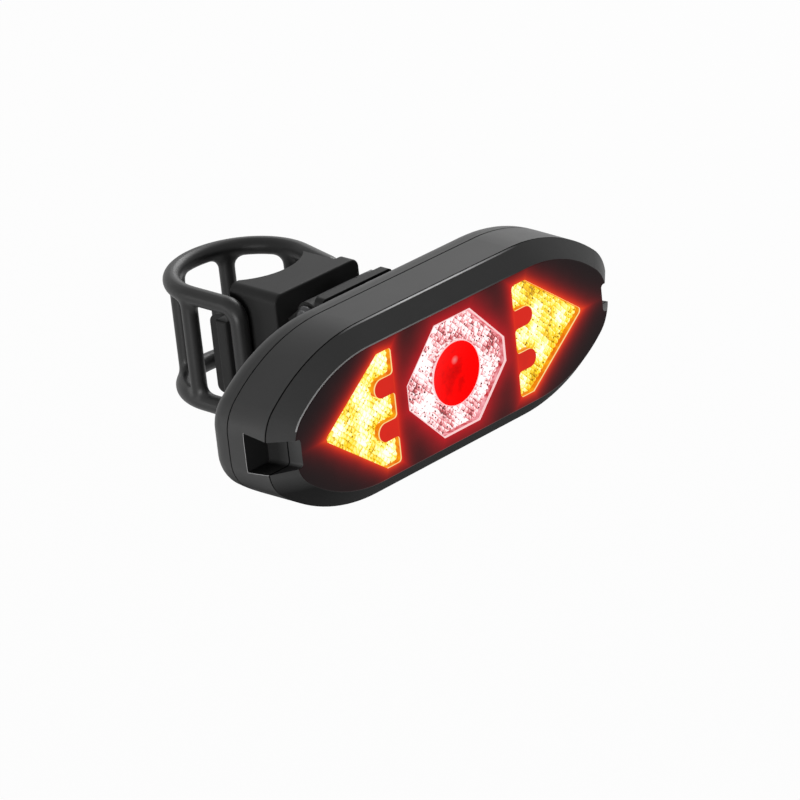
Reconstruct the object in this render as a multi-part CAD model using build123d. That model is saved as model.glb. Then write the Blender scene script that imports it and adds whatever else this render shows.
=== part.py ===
from build123d import *
import math
import os

# Bicycle turn signal light on a rubber strap bracket, in millimetres.
# The origin is on the seat post's axis, at the middle of the clamp.
# +Z runs up the post, -Y points out of the lamp's face, +X is to the right of someone who looks at the face.

# Clamp and saddle block
post_radius = 13.6
pad_thickness = 1.2
pad_height = 19.0
pad_half_angle = 74.0
post_relief = 0.3
pad_recess_gap = 0.05
block_width = 26.4
block_height = 32.5
block_front = 23.5
block_back = 9.5
block_edge_radius = 2.2
block_front_radius = 0.5
wing_thickness = 1.6
wing_half_angle = 73.0
wing_root_angle = 38.0
wing_corner_radius = 2.0
hook_reach = 4.7
hook_thickness = 3.2
hook_corner_radius = 0.6

# Ladder strap
strap_radius = 2.1
strap_half_height = 12.7
strap_corner_radius = 3.2
strap_post_gap = 0.1
strap_end_bar_forward = 14.4
strap_bar_pitch = 15.8
strap_cross_bars = 4
strap_bar_radius = 1.9
soft_gap = 0.3

# Strap anchor on the right of the block
anchor_bar_x = 12.2
anchor_bar_forward = 17.3
anchor_wall = 1.3
anchor_height = 17.0
anchor_mouth = 3.2
recess_depth = 3.6

# Tilt hinge
hinge_forward = 6.5
hinge_height = 12.0
knuckle_radius = 3.2
knuckle_half_length = 6.0
ear_gap = 0.2
ear_thickness = 3.5
ear_root_drop = 6.0
bolt_radius = 1.5
bolt_running_gap = 0.05
bolt_head_radius = 2.5
bolt_head_height = 1.8
bolt_head_round = 1.0
hex_key_width = 2.0
hex_key_depth = 0.9
nut_across_flats = 5.5
nut_height = 2.2
nut_sides = 6
nut_turn = 30.0
bolt_end_length = 0.5

# Cradle plate and its T-shaped rail
cradle_width = 22.0
cradle_thickness = 2.45
cradle_bottom = 11.0
cradle_top = 17.2
cradle_hinge_gap = 0.3
cradle_corner_radius = 1.4
rail_gap = 0.2
rail_neck_half_width = 4.8
rail_head_half_width = 7.0
rail_bottom = 8.8

# Shoe on the lamp's back, which slides down over the rail
shoe_half_width = 10.0
shoe_bottom = 12.0
shoe_top = 14.3
shoe_lip_thickness = 1.6
shoe_slot_depth = 2.7
shoe_floor_thickness = 1.4
shoe_cap_thickness = 2.6
shoe_corner_radius = 2.4
shoe_screw_x = 4.6
shoe_screw_spread = 13.0
shoe_screw_radius = 1.0
shoe_screw_length = 5.4
shoe_screw_head_radius = 1.9
shoe_screw_head_height = 1.0

# Lamp outline, front face and the two seams
lamp_center_height = 2.3
cover_slope_length = 4.6
cover_slope_height = 4.3
face_shoulder_radius = 32.0
face_nose_radius = 8.1
face_nose_flat = 1.3
shell_half_length = 53.4
shell_half_height = 19.6
shell_shoulder_radius = 41.0
shell_nose_radius = 9.0
shell_nose_flat = 2.9
cover_depth = 4.15
middle_depth = 10.7
rear_depth = 6.8
end_draft = 0.5
rear_edge_radius = 5.2
seam_chamfer = 0.2
face_edge_radius = 0.35

# Walls and hollows of the lamp
face_wall = 2.0
back_wall = 2.0
cover_hollow_inset = 4.2
shell_wall = 2.4
end_wall = 8.1
hollow_shoulder_radius = 33.0
hollow_nose_radius = 7.0

# End pockets
pocket_reach = 6.1
pocket_depth = 10.2
pocket_front_half_height = 3.2
pocket_back_half_height = 4.4
pocket_inner_radius = 0.8

# Gaskets
gasket_width = 1.0
gasket_height = 0.8
gasket_inset = 0.6
gasket_squeeze = 0.05

# Windows in the face, as shares of the face's half length along X and of its half height along Z
arrow_tip_share = 0.832
arrow_head_share = 0.4775
arrow_root_share = 0.3873
arrow_height_share = 0.8562
arrow_notch_share = 0.5061
arrow_notch_low_share = 0.1895
arrow_notch_high_share = 0.4641
arrow_corner_radius = 0.9
hexagon_height_share = 0.8366
hexagon_flat_share = 0.1127
hexagon_length_share = 0.3094
hexagon_end_share = 0.1765
hexagon_corner_radius = 0.6
disc_share = 0.4771
disc_gap = 0.06
disc_inset = 0.1
disc_dish = 0.9

# Lenses, tray and boards
lens_margin = 1.0
lens_thickness = 2.0
lens_rise = 0.85
lens_rise_gap = 0.1
lens_seat_gap = 0.05
lens_side_gap = 0.15
tray_side_gap = 0.25
tray_cell_margin = 0.3
board_front_depth = 7.6
board_thickness = 1.6
board_side_gap = 0.7
led_size = 2.8
led_height = 1.3
led_dome_radius = 0.95
led_dome_height = 0.5
ring_led_share = 0.8
ring_led_count = 6
center_led_size = 3.5
arrow_led_spots_shares = [
    (0.86, 0.0), (0.66, 0.0), (0.53, 0.0),
    (0.69, 0.38), (0.69, -0.38), (0.53, 0.76), (0.53, -0.76),
]

# Battery, sounder, chips and wires
battery_side_gap = 1.5
battery_height = 25.0
battery_thickness = 5.6
battery_corner_radius = 2.0
tape_thickness = 0.4
tape_margin = 3.0
buzzer_radius = 6.0
buzzer_height = 6.0
buzzer_hole_radius = 1.0
buzzer_hole_depth = 1.2
buzzer_share = 0.6733
sound_slot_length = 6.0
sound_slot_width = 1.1
sound_slot_pitch = 2.6
chip_size = 5.0
chip_height = 0.9
chip_share = 0.5188
chip_z = 9.0
radio_chip_share = 0.6071
radio_chip_length = 4.0
radio_chip_height = 1.0
lead_radius = 0.55
lead_spacing = 2.4
lead_reach = 3.0
lead_bend_radius = 1.3

# Charging socket and its flap, in the bottom wall
socket_share = 0.33113
socket_width = 8.94
socket_thickness = 3.26
socket_length = 7.3
socket_shell = 0.3
socket_end_radius = 1.6
socket_mouth_inset = 1.4
socket_hole_gap = 0.3
flap_length = 14.0
flap_width = 6.4
flap_thickness = 1.15
flap_gap = 0.2
flap_bead_radius = 0.6
flap_bead_inset = 7.4
flap_plug_half_length = 3.6
flap_plug_thickness = 2.0
flap_plug_height = 1.2
flap_tab_length = 1.6
flap_tab_height = 0.5

# Power button and its switch, in the back wall
button_share = 0.6733
button_radius = 4.2
button_hole_gap = 0.1
button_proud = 0.9
button_travel = 0.8
button_flange = 1.0
button_flange_thickness = 0.8
button_flange_gap = 0.1
button_stem_radius = 1.6
button_dish_radius = 9.0
button_dish_depth = 0.35
switch_size = 6.0
switch_height = 3.5
plunger_radius = 1.7
plunger_gap = 0.08
plunger_proud = 1.0

# Housing screws and their pillars
pillar_share = 0.7616
pillar_height_share = 0.4898
pillar_radius = 2.7
screw_radius = 1.1
screw_hole_gap = 0.03
screw_head_radius = 2.0
screw_head_height = 1.4
screw_head_gap = 0.2
screw_head_sink = 2.4
screw_bite = 3.4
screw_cross_width = 0.5
screw_cross_depth = 0.7
screw_cross_share = 1.3

# One overrun serves every cut.
overrun = 1.0

# Places that follow from the sizes above, along Y towards the post
block_front_y = -block_front
hinge_y = block_front_y - hinge_forward
cradle_back_y = hinge_y - knuckle_radius - cradle_hinge_gap
cradle_front_y = cradle_back_y - cradle_thickness
shoe_back_y = cradle_front_y - rail_gap
shoe_slot_back_y = shoe_back_y - shoe_lip_thickness
shoe_slot_front_y = shoe_slot_back_y - shoe_slot_depth
lamp_back_y = shoe_slot_front_y - shoe_floor_thickness
middle_end_depth = cover_depth + middle_depth
lamp_depth = middle_end_depth + rear_depth
lamp_front_y = lamp_back_y - lamp_depth
back_wall_depth = lamp_depth - back_wall
board_back_depth = board_front_depth + board_thickness
socket_depth = board_back_depth + socket_thickness / 2
ear_inner_x = knuckle_half_length + ear_gap
ear_outer_x = ear_inner_x + ear_thickness
strap_path_radius = post_radius + strap_post_gap + strap_radius

# Sizes of the lamp that follow from its outline
face_half_length = shell_half_length - cover_slope_length
face_half_height = shell_half_height - cover_slope_height
cover_hollow_half_height = shell_half_height - cover_hollow_inset
hollow_half_length = shell_half_length - end_wall
hollow_half_height = shell_half_height - shell_wall
pocket_wall_x = shell_half_length - pocket_reach
arrow_tip_x = face_half_length * arrow_tip_share
arrow_head_x = face_half_length * arrow_head_share
arrow_root_x = face_half_length * arrow_root_share
arrow_notch_x = face_half_length * arrow_notch_share
arrow_half_height = face_half_height * arrow_height_share
arrow_notch_low = face_half_height * arrow_notch_low_share
arrow_notch_high = face_half_height * arrow_notch_high_share
hexagon_half_height = face_half_height * hexagon_height_share
hexagon_end_half_height = face_half_height * hexagon_end_share
hexagon_flat_half_length = face_half_length * hexagon_flat_share
hexagon_half_length = face_half_length * hexagon_length_share
disc_radius = face_half_height * disc_share
pillar_x = hollow_half_length * pillar_share
pillar_z = shell_half_height * pillar_height_share
buzzer_x = hollow_half_length * buzzer_share
button_x = hollow_half_length * button_share
chip_x = hollow_half_length * chip_share
radio_chip_x = -hollow_half_length * radio_chip_share
socket_x = hollow_half_length * socket_share
battery_left_x = buzzer_radius + battery_side_gap - buzzer_x
battery_right_x = socket_x - socket_width / 2 - battery_side_gap
recess_x = block_width / 2 - recess_depth


def point_at(radius, angle):
    return (radius * math.cos(math.radians(angle)), radius * math.sin(math.radians(angle)))


def lamp_plane(depth):
    # Sketch x is X and sketch y is Z, with the lamp's centre at the sketch's origin.
    return Plane(origin=(0, lamp_front_y + depth, lamp_center_height), x_dir=(1, 0, 0), z_dir=(0, -1, 0))


def slab(face, from_depth, to_depth):
    return extrude(lamp_plane(from_depth) * face, amount=to_depth - from_depth, dir=(0, 1, 0))


def lamp_box(x_low, x_high, z_low, z_high, from_depth, to_depth):
    face = Pos((x_low + x_high) / 2, (z_low + z_high) / 2) * Rectangle(x_high - x_low, z_high - z_low)
    return slab(face, from_depth, to_depth)


def lamp_rod(x, z, radius, from_depth, to_depth):
    return slab(Pos(x, z) * Circle(radius), from_depth, to_depth)


def rod_along_x(x_low, x_high, y, z, radius):
    return Pos((x_low + x_high) / 2, y, z) * Rot(0, 90, 0) * Cylinder(radius, x_high - x_low)


def rod_along_z(x, y, radius, z_low, z_high):
    return Pos(x, y, (z_low + z_high) / 2) * Cylinder(radius, z_high - z_low)


def box_between(low, high):
    center = [(a + b) / 2 for a, b in zip(low, high)]
    return Pos(*center) * Box(*[b - a for a, b in zip(low, high)])


def save(shape, name):
    shape.label = name
    export_step(shape, "parts/" + name + ".step")


def long_outline(half_length, half_height, shoulder_radius, nose_radius, nose_flat):
    # Flat top and bottom, a large shoulder arc, a nose arc and a short flat end, in four equal quarters.
    cosine = (shoulder_radius - half_height + nose_flat) / (shoulder_radius - nose_radius)
    angle = math.acos(cosine)
    nose_center_x = half_length - nose_radius
    flat_end_x = nose_center_x - (shoulder_radius - nose_radius) * math.sin(angle)
    half = angle / 2
    shoulder_middle = (
        flat_end_x + shoulder_radius * math.sin(half),
        half_height - shoulder_radius * (1 - math.cos(half)),
    )
    nose_start = (nose_center_x + nose_radius * math.sin(angle), nose_flat + nose_radius * cosine)
    rest = (angle + math.pi / 2) / 2
    nose_middle = (nose_center_x + nose_radius * math.sin(rest), nose_flat + nose_radius * math.cos(rest))
    quarter = [(flat_end_x, half_height), shoulder_middle, nose_start, nose_middle, (half_length, nose_flat)]
    edges = []
    for x_sign, z_sign in [(1, 1), (1, -1), (-1, -1), (-1, 1)]:
        a, b, c, d, e = [(x * x_sign, z * z_sign) for x, z in quarter]
        edges += [ThreePointArc(a, b, c), ThreePointArc(c, d, e)]
    for side in [1, -1]:
        edges.append(Line((half_length * side, nose_flat), (half_length * side, -nose_flat)))
        edges.append(Line((-flat_end_x, half_height * side), (flat_end_x, half_height * side)))
    return make_face(Curve() + edges)


def face_outline():
    return long_outline(
        face_half_length,
        face_half_height,
        face_shoulder_radius,
        face_nose_radius,
        face_nose_flat,
    )


def shell_outline(draft=0):
    return long_outline(
        shell_half_length + draft,
        shell_half_height,
        shell_shoulder_radius,
        shell_nose_radius,
        shell_nose_flat,
    )


def hollow_outline(half_height, inset=0):
    return long_outline(
        hollow_half_length - inset,
        half_height - inset,
        hollow_shoulder_radius,
        hollow_nose_radius,
        face_nose_flat,
    )


def gasket_outline():
    inner = hollow_outline(hollow_half_height + gasket_inset - gasket_width / 2, -gasket_inset)
    return offset(inner, gasket_width) - inner


def arrow_window():
    # The right-hand arrow, with its tip towards +X.
    corners = [
        (arrow_tip_x, 0),
        (arrow_head_x, arrow_half_height),
        (arrow_root_x, arrow_half_height),
        (arrow_root_x, -arrow_half_height),
        (arrow_head_x, -arrow_half_height),
    ]
    arrow = make_face(Polyline(*corners, close=True))
    notch_radius = (arrow_notch_high - arrow_notch_low) / 2
    notch_z = (arrow_notch_high + arrow_notch_low) / 2
    notch_center_x = arrow_notch_x - notch_radius
    notch_length = notch_center_x - arrow_root_x + overrun
    for side in [1, -1]:
        bar = Pos(notch_center_x - notch_length / 2, notch_z * side) * Rectangle(notch_length, 2 * notch_radius)
        arrow -= bar + Pos(notch_center_x, notch_z * side) * Circle(notch_radius)
    sharp = [v for v in arrow.vertices() if abs(v.X - notch_center_x) > notch_radius / 2]
    return fillet(sharp, arrow_corner_radius)


def hexagon_window():
    quarter = [(hexagon_flat_half_length, hexagon_half_height), (hexagon_half_length, hexagon_end_half_height)]
    right = quarter + [(x, -z) for x, z in reversed(quarter)]
    left = [(-x, z) for x, z in reversed(right)]
    hexagon = make_face(Polyline(*right, *left, close=True))
    return fillet(hexagon.vertices(), hexagon_corner_radius)


def windows():
    arrow = arrow_window()
    return [arrow, mirror(arrow, about=Plane.YZ), hexagon_window()]


def end_pockets():
    points = [
        (lamp_front_y - overrun, pocket_front_half_height),
        (lamp_front_y, pocket_front_half_height),
        (lamp_front_y + pocket_depth, pocket_back_half_height),
    ]
    low = [(y, -z) for y, z in reversed(points)]
    side = make_face(Polyline(*points, *low, close=True))
    length = shell_half_length + end_draft + overrun - pocket_wall_x
    right = extrude(Plane.YZ.offset(pocket_wall_x) * Pos(0, lamp_center_height) * side, amount=length)
    inner = [e for e in right.edges().filter_by(Axis.Y) if abs(e.center().X - pocket_wall_x) < overrun]
    inner += [e for e in right.edges() if abs(e.center().X - pocket_wall_x) < overrun and e not in inner
              and e.length > pocket_depth - overrun and abs(e.center().Z - lamp_center_height) > 0]
    right = fillet(inner, pocket_inner_radius)
    return right + mirror(right, about=Plane.YZ)


def pillar_places():
    return [(x * pillar_x, z * pillar_z) for x in [1, -1] for z in [1, -1]]


def make_lens_cover():
    rim_depth = cover_depth - seam_chamfer
    cover = loft([lamp_plane(0) * face_outline(), lamp_plane(rim_depth) * shell_outline()], ruled=True)
    front = cover.faces().sort_by(Axis.Y)[0]
    cover = fillet(front.edges(), face_edge_radius)
    seam_outline = long_outline(
        shell_half_length - seam_chamfer,
        shell_half_height - seam_chamfer,
        shell_shoulder_radius - seam_chamfer,
        shell_nose_radius - seam_chamfer,
        shell_nose_flat,
    )
    rim_outlines = [lamp_plane(rim_depth) * shell_outline(), lamp_plane(cover_depth) * seam_outline]
    cover += loft(rim_outlines, ruled=True)
    cover -= slab(hollow_outline(cover_hollow_half_height), face_wall, cover_depth + overrun)
    for window in windows():
        cover -= slab(window, -overrun, face_wall + overrun)
    return cover - end_pockets()


def make_middle_housing():
    front = lamp_plane(cover_depth) * shell_outline()
    back = lamp_plane(middle_end_depth) * shell_outline(end_draft)
    body = loft([front, back], ruled=True)
    rims = body.faces().sort_by(Axis.Y)
    body = chamfer(rims[0].edges() + rims[-1].edges(), seam_chamfer)
    hollow = hollow_outline(hollow_half_height)
    body -= slab(hollow, cover_depth - overrun, middle_end_depth + overrun)
    for x, z in pillar_places():
        pillar = lamp_rod(x, z, pillar_radius, board_back_depth, middle_end_depth)
        bridge_x = math.copysign(shell_half_length, x)
        pillar += lamp_box(min(x, bridge_x), max(x, bridge_x), z - screw_radius, z + screw_radius,
                           board_back_depth, middle_end_depth)
        pillar &= slab(shell_outline(-shell_wall / 2), board_back_depth, middle_end_depth)
        body += pillar
        body -= lamp_rod(x, z, screw_radius + screw_hole_gap, middle_end_depth - screw_bite - overrun,
                         middle_end_depth + overrun)
    body -= slab(gasket_outline(), cover_depth - overrun, cover_depth + gasket_height)
    body -= slab(gasket_outline(), middle_end_depth - gasket_height, middle_end_depth + overrun)
    body -= socket_opening()
    body -= flap_recess()
    return body - end_pockets()


def make_gasket(from_depth):
    return slab(gasket_outline(), from_depth, from_depth + gasket_height - gasket_squeeze)


def make_rear_shell():
    outline = shell_outline(end_draft)
    shell = slab(outline, middle_end_depth, lamp_depth)
    faces = shell.faces().sort_by(Axis.Y)
    shell = fillet(faces[-1].edges(), rear_edge_radius)
    shell = chamfer(shell.faces().sort_by(Axis.Y)[0].edges(), seam_chamfer)
    hollow = hollow_outline(hollow_half_height)
    shell -= slab(hollow, middle_end_depth - overrun, back_wall_depth)
    for x, z in pillar_places():
        shell += lamp_rod(x, z, pillar_radius, middle_end_depth, back_wall_depth)
        shell -= lamp_rod(x, z, screw_radius + screw_hole_gap, middle_end_depth - overrun, lamp_depth + overrun)
        shell -= lamp_rod(x, z, screw_head_radius + screw_head_gap, lamp_depth - screw_head_sink,
                          lamp_depth + overrun)
    for x, z in shoe_screw_places():
        tip_depth = lamp_depth + shoe_floor_thickness - shoe_screw_length
        shell += lamp_rod(x, z, 2 * shoe_screw_radius, tip_depth, back_wall_depth)
        shell -= lamp_rod(x, z, shoe_screw_radius + screw_hole_gap, tip_depth - overrun, lamp_depth + overrun)
    shell -= lamp_rod(button_x, 0, button_radius + button_hole_gap, back_wall_depth - overrun, lamp_depth + overrun)
    for step in [-1, 0, 1]:
        slot = Pos(-buzzer_x, step * sound_slot_pitch) * SlotOverall(sound_slot_length, sound_slot_width)
        shell -= slab(slot, back_wall_depth - overrun, lamp_depth + overrun)
    return shell


def stepped_lens(window):
    # A flange behind the face, and a step that stands in the window.
    front = face_wall + lens_seat_gap
    flange = slab(offset(window, lens_margin), front, front + lens_thickness)
    return flange + slab(offset(window, -lens_rise_gap), front - lens_rise, front + lens_thickness)


def make_arrow_lens(side):
    lens = stepped_lens(arrow_window())
    return lens if side > 0 else mirror(lens, about=Plane.YZ)


def make_hexagon_lens():
    hole_end = face_wall + lens_seat_gap + lens_thickness + overrun
    return stepped_lens(hexagon_window()) - lamp_rod(0, 0, disc_radius + disc_gap, 0, hole_end)


def make_disc_lens():
    # A thick disc that stands in the hexagon's window, with a dished front.
    disc = lamp_rod(0, 0, disc_radius, disc_inset, face_wall + lens_seat_gap + lens_thickness)
    ball_radius = (disc_radius ** 2 + disc_dish ** 2) / (2 * disc_dish)
    ball = Pos(0, lamp_front_y + disc_inset - ball_radius + disc_dish, lamp_center_height) * Sphere(ball_radius)
    return disc - ball


def make_reflector_tray():
    front = face_wall + lens_seat_gap
    seat = front + lens_thickness
    tray = slab(hollow_outline(cover_hollow_half_height, tray_side_gap), front, board_front_depth)
    for window in windows():
        tray -= slab(offset(window, lens_margin + lens_side_gap), front - overrun, seat)
        tray -= slab(offset(window, tray_cell_margin), front, board_front_depth + overrun)
    return tray


def make_board():
    outline = hollow_outline(hollow_half_height, board_side_gap)
    return slab(outline, board_front_depth, board_back_depth)


def led_at(x, z, size):
    base = lamp_box(x - size / 2, x + size / 2, z - size / 2, z + size / 2,
                    board_front_depth - led_height, board_front_depth)
    top = board_front_depth - led_height
    return base + lamp_rod(x, z, led_dome_radius, top - led_dome_height, top)


def make_arrow_leds():
    leds = []
    for side in [1, -1]:
        for x_share, z_share in arrow_led_spots_shares:
            leds.append(led_at(side * x_share * arrow_tip_x, z_share * arrow_half_height, led_size))
    return Compound(children=leds)


def make_ring_leds():
    leds = []
    for step in range(ring_led_count):
        angle = 360 * (step + 0.5) / ring_led_count
        x, z = point_at(hexagon_half_height * ring_led_share, angle)
        leds.append(led_at(x, z, led_size))
    return Compound(children=leds)


def make_battery():
    front = board_back_depth + tape_thickness
    cell = lamp_box(battery_left_x, battery_right_x, -battery_height / 2, battery_height / 2,
                    front, front + battery_thickness)
    return fillet(cell.edges().filter_by(Axis.Z), battery_corner_radius)


def make_battery_tape():
    half_height = battery_height / 2 - tape_margin
    return lamp_box(battery_left_x + tape_margin, battery_right_x - tape_margin, -half_height, half_height,
                    board_back_depth, board_back_depth + tape_thickness)


def make_battery_leads():
    end_x = battery_right_x
    middle_y = lamp_front_y + board_back_depth + tape_thickness + battery_thickness / 2
    board_y = lamp_front_y + board_back_depth
    leads = []
    for side in [1, -1]:
        z = lamp_center_height + side * lead_spacing / 2
        route = FilletPolyline(
            (end_x, middle_y, z),
            (end_x + lead_reach, middle_y, z),
            (end_x + lead_reach, board_y, z),
            radius=lead_bend_radius,
        )
        section = Plane(origin=(end_x, middle_y, z), z_dir=(1, 0, 0)) * Circle(lead_radius)
        leads.append(sweep(section, path=route))
    return Compound(children=leads)


def make_buzzer():
    end = board_back_depth + buzzer_height
    can = lamp_rod(-buzzer_x, 0, buzzer_radius, board_back_depth, end)
    return can - lamp_rod(-buzzer_x, 0, buzzer_hole_radius, end - buzzer_hole_depth, end + overrun)


def make_chips():
    half = chip_size / 2
    main = lamp_box(chip_x - half, chip_x + half, chip_z - half, chip_z + half,
                    board_back_depth, board_back_depth + chip_height)
    radio = lamp_box(radio_chip_x - radio_chip_length / 2, radio_chip_x + radio_chip_length / 2,
                     chip_z - half, chip_z + half, board_back_depth, board_back_depth + radio_chip_height)
    return Compound(children=[main, radio])


def socket_section(grow):
    width = socket_width + 2 * grow
    thickness = socket_thickness + 2 * grow
    section = Rectangle(width, thickness)
    return fillet(section.vertices(), min(socket_end_radius, socket_thickness / 2) + grow - seam_chamfer)


def socket_mouth_z():
    return lamp_center_height - shell_half_height + socket_mouth_inset


def socket_prism(grow, z_low, z_high):
    place = Plane(origin=(socket_x, lamp_front_y + socket_depth, z_low), x_dir=(1, 0, 0), z_dir=(0, 0, 1))
    return extrude(place * socket_section(grow), amount=z_high - z_low)


def make_socket():
    low = socket_mouth_z()
    shell = socket_prism(0, low, low + socket_length)
    shell -= socket_prism(-socket_shell, low - overrun, low + socket_length - socket_shell)
    tongue_width = socket_width - 4 * (socket_shell + socket_end_radius / 2)
    y = lamp_front_y + socket_depth
    tongue = box_between(
        (socket_x - tongue_width / 2, y - socket_shell, low + flap_plug_height),
        (socket_x + tongue_width / 2, y + socket_shell, low + socket_length - socket_shell),
    )
    return shell + tongue


def socket_opening():
    low = lamp_center_height - shell_half_height
    high = socket_mouth_z() + shell_wall + overrun
    return socket_prism(socket_hole_gap, low - overrun, high)


def flap_outer_z():
    return lamp_center_height - shell_half_height


def flap_prism(grow, height):
    low = flap_outer_z()
    x_low = socket_x - flap_bead_inset
    y = lamp_front_y + socket_depth
    plate = box_between(
        (x_low, y - flap_width / 2 - grow, low),
        (x_low + flap_length + grow, y + flap_width / 2 + grow, low + height),
    )
    tip_edges = plate.edges().filter_by(Axis.Z).sort_by(Axis.X)[2:]
    plate = fillet(tip_edges, flap_width / 4)
    bead = Pos(x_low, y, low + flap_bead_radius) * Rot(90, 0, 0)
    return plate + bead * Cylinder(flap_bead_radius + grow, flap_width + 2 * grow)


def flap_recess():
    y = lamp_front_y + socket_depth
    low = flap_outer_z()
    tip_x = socket_x - flap_bead_inset + flap_length
    half_mouth = flap_width / 2 + flap_gap
    mouth = box_between(
        (socket_x - flap_bead_inset - flap_bead_radius - flap_gap, y - half_mouth, low - overrun),
        (tip_x + flap_gap, y + half_mouth, low + flap_bead_radius),
    )
    nail_notch = box_between(
        (tip_x, y - flap_width / 4, low - overrun),
        (tip_x + flap_tab_length, y + flap_width / 4, low + flap_bead_radius),
    )
    return flap_prism(flap_gap, flap_thickness + flap_gap / 2) + mouth + nail_notch


def make_usb_flap():
    y = lamp_front_y + socket_depth
    low = flap_outer_z()
    flap = flap_prism(0, flap_thickness)
    half_plug = flap_plug_thickness / 2
    plug = box_between(
        (socket_x - flap_plug_half_length, y - half_plug, low + flap_thickness),
        (socket_x + flap_plug_half_length, y + half_plug, low + flap_thickness + flap_plug_height),
    )
    tip_x = socket_x - flap_bead_inset + flap_length
    tab = box_between(
        (tip_x - flap_tab_length, y - flap_width / 4 + flap_gap, low),
        (tip_x + flap_tab_length / 2, y + flap_width / 4 - flap_gap, low + flap_tab_height),
    )
    return flap + plug + tab


def make_power_button():
    flange_end = back_wall_depth - button_flange_gap
    flange_start = flange_end - button_flange_thickness
    stem_start = board_back_depth + switch_height + plunger_proud
    cap = lamp_rod(button_x, 0, button_radius, flange_start, lamp_depth + button_proud)
    cap = fillet(cap.faces().sort_by(Axis.Y)[-1].edges(), button_proud / 2)
    ball_y = lamp_back_y + button_proud - button_dish_depth + button_dish_radius
    cap -= Pos(button_x, ball_y, lamp_center_height) * Sphere(button_dish_radius)
    flange = lamp_rod(button_x, 0, button_radius + button_flange, flange_start, flange_end)
    stem = lamp_rod(button_x, 0, button_stem_radius, stem_start, flange_start)
    return cap + flange + stem


def make_switch():
    half = switch_size / 2
    top = board_back_depth + switch_height
    body = lamp_box(button_x - half, button_x + half, -half, half, board_back_depth, top)
    well_floor = top - plunger_proud - button_travel
    well = lamp_rod(button_x, 0, plunger_radius + plunger_gap, well_floor, top + overrun)
    return body - well


def make_plunger():
    top = board_back_depth + switch_height
    return lamp_rod(button_x, 0, plunger_radius, top - plunger_proud + plunger_gap, top + plunger_proud)


def make_housing_screws():
    screws = []
    seat = lamp_depth - screw_head_sink
    head_end = seat + screw_head_height
    screw_cross_length = screw_head_radius * screw_cross_share
    for x, z in pillar_places():
        screw = lamp_rod(x, z, screw_radius, middle_end_depth - screw_bite, seat)
        head = lamp_rod(x, z, screw_head_radius, seat, head_end)
        screw += fillet(head.faces().sort_by(Axis.Y)[-1].edges(), screw_head_height / 3)
        for width, height in [(screw_cross_length, screw_cross_width), (screw_cross_width, screw_cross_length)]:
            screw -= lamp_box(x - width / 2, x + width / 2, z - height / 2, z + height / 2,
                              head_end - screw_cross_depth, head_end + overrun)
        screws.append(screw)
    return Compound(children=screws)


def shoe_middle_z():
    return (shoe_top - shoe_bottom) / 2


def shoe_screw_places():
    spread = shoe_screw_spread / 2
    return [(x * shoe_screw_x, shoe_middle_z() + z * spread) for x in [1, -1] for z in [1, -1]]


def make_shoe():
    top = lamp_center_height + shoe_top
    bottom = lamp_center_height - shoe_bottom
    body = box_between((-shoe_half_width, lamp_back_y, bottom), (shoe_half_width, shoe_back_y, top))
    body = fillet(body.edges().filter_by(Axis.Y), shoe_corner_radius)
    slot_top = top - shoe_cap_thickness
    head = rail_head_half_width + rail_gap
    neck = rail_neck_half_width + rail_gap
    body -= box_between((-head, shoe_slot_front_y, bottom - overrun), (head, shoe_slot_back_y, slot_top))
    body -= box_between(
        (-neck, shoe_slot_back_y - overrun, bottom - overrun),
        (neck, shoe_back_y + overrun, slot_top),
    )
    for x, z in shoe_screw_places():
        body -= lamp_rod(x, z, shoe_screw_radius + screw_hole_gap, lamp_depth - overrun, lamp_depth + lamp_depth)
        body -= screw_cone(x, z, screw_hole_gap)
    return body


def screw_cone(x, z, grow):
    end = lamp_depth + shoe_floor_thickness
    start = end - shoe_screw_head_height
    small = lamp_plane(start) * Pos(x, z) * Circle(shoe_screw_radius + grow)
    large = lamp_plane(end) * Pos(x, z) * Circle(shoe_screw_head_radius + grow)
    return loft([small, large], ruled=True)


def make_shoe_screws():
    screws = []
    end = lamp_depth + shoe_floor_thickness
    cross_length = shoe_screw_head_radius
    for x, z in shoe_screw_places():
        screw = lamp_rod(x, z, shoe_screw_radius, end - shoe_screw_length, end - shoe_screw_head_height)
        screw += screw_cone(x, z, 0)
        for width, height in [(cross_length, screw_cross_width), (screw_cross_width, cross_length)]:
            screw -= lamp_box(x - width / 2, x + width / 2, z - height / 2, z + height / 2,
                              end - screw_cross_depth, end + overrun)
        screws.append(screw)
    return Compound(children=screws)


def make_cradle():
    half_width = cradle_width / 2
    plate = box_between((-half_width, cradle_front_y, -cradle_bottom), (half_width, cradle_back_y, cradle_top))
    plate = fillet(plate.edges().filter_by(Axis.Y), cradle_corner_radius)
    slot_top = lamp_center_height + shoe_top - shoe_cap_thickness
    head_back_y = shoe_slot_back_y - rail_gap
    head_front_y = shoe_slot_front_y + rail_gap
    plate += box_between((-rail_neck_half_width, head_back_y, -rail_bottom),
                         (rail_neck_half_width, cradle_front_y, slot_top - rail_gap))
    plate += box_between((-rail_head_half_width, head_front_y, -rail_bottom),
                         (rail_head_half_width, head_back_y, slot_top - rail_gap))
    plate += rod_along_x(-knuckle_half_length, knuckle_half_length, hinge_y, hinge_height, knuckle_radius)
    plate += box_between((-knuckle_half_length, cradle_back_y, hinge_height - knuckle_radius),
                         (knuckle_half_length, hinge_y, hinge_height + knuckle_radius / 2))
    bore = bolt_radius + bolt_running_gap
    return plate - rod_along_x(-half_width, half_width, hinge_y, hinge_height, bore)


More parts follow.
